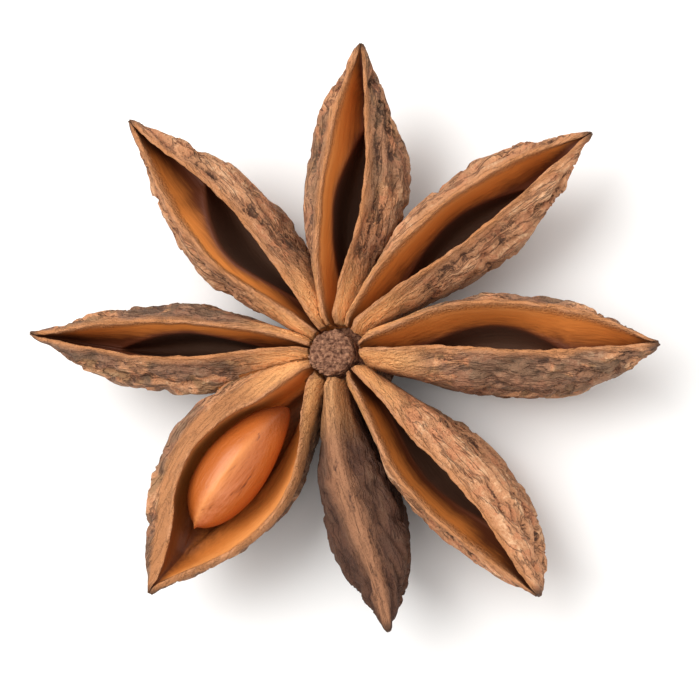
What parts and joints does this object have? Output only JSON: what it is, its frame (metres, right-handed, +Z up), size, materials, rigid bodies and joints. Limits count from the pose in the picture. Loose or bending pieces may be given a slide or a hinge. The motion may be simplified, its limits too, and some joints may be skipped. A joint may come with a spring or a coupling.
{
  "type": "star anise pod",
  "caption": "Dried star-shaped spice pod with open boat-shaped carpels round a short column and a glossy seed lying in one of them.",
  "frame": {"origin": "middle of the pod's box on the plane that it rests on, under the column", "axes": "+Z up along the column, with the seams of the carpels facing up; +X along the longest carpel"},
  "size_m": [0.0368, 0.033, 0.0074],
  "materials": {
    "pod_wood": "dry brown woody pod, matt and wrinkled outside, smooth orange-brown lining inside",
    "seed_coat": "hard smooth glossy seed coat, orange-brown"
  },
  "bodies": {
    "root": {"pod": "pod_wood", "seed": "seed_coat"}
  },
  "joints": []
}
